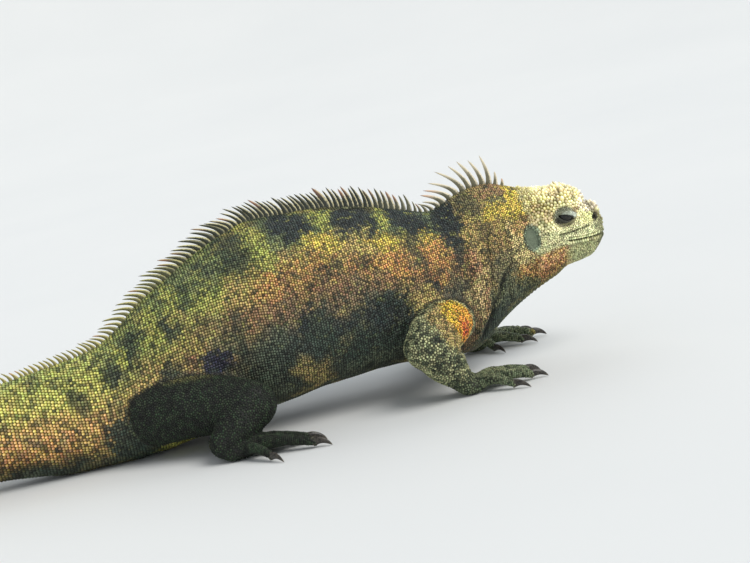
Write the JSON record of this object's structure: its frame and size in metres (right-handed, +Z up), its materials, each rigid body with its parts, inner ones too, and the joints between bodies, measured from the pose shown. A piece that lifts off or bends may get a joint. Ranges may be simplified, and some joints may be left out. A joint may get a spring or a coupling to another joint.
{
  "type": "marine iguana model",
  "caption": "Life-size still model of a marine iguana standing low with its head up, with a spiny crest and a long flat tail.",
  "frame": {"origin": "on the floor, on the flat under the root of the tail", "axes": "+X along the trunk towards the head, +Y to the animal's left, +Z up"},
  "size_m": [1.0156, 0.2764, 0.1822],
  "materials": {
    "skin": "fine dry granular scales, mottled yellow green, ochre, rust and blue black",
    "head_scales": "pale dry conical scales, crusted with salt",
    "limb_skin": "dark granular scales",
    "claw_horn": "glossy dark horn",
    "eye": "wet gloss"
  },
  "bodies": {
    "root": {"head": "head_scales", "eye_right": "eye", "eye_left": "eye", "neck": "skin", "chest": "skin", "belly": "skin", "pelvis": "skin", "tail_root": "skin", "tail_front": "skin", "tail_rear": "skin", "tail_tip": "skin", "upper_arm_right": "limb_skin", "forearm_right": "limb_skin", "hand_right": "limb_skin", "thigh_right": "limb_skin", "shin_right": "limb_skin", "foot_right": "limb_skin", "claw_hand_right_1": "claw_horn", "claw_hand_right_2": "claw_horn", "claw_hand_right_3": "claw_horn", "claw_hand_right_4": "claw_horn", "claw_hand_right_5": "claw_horn", "claw_foot_right_1": "claw_horn", "claw_foot_right_2": "claw_horn", "claw_foot_right_3": "claw_horn", "claw_foot_right_4": "claw_horn", "claw_foot_right_5": "claw_horn", "upper_arm_left": "limb_skin", "forearm_left": "limb_skin", "hand_left": "limb_skin", "thigh_left": "limb_skin", "shin_left": "limb_skin", "foot_left": "limb_skin", "claw_hand_left_1": "claw_horn", "claw_hand_left_2": "claw_horn", "claw_hand_left_3": "claw_horn", "claw_hand_left_4": "claw_horn", "claw_hand_left_5": "claw_horn", "claw_foot_left_1": "claw_horn", "claw_foot_left_2": "claw_horn", "claw_foot_left_3": "claw_horn", "claw_foot_left_4": "claw_horn", "claw_foot_left_5": "claw_horn"}
  },
  "joints": []
}
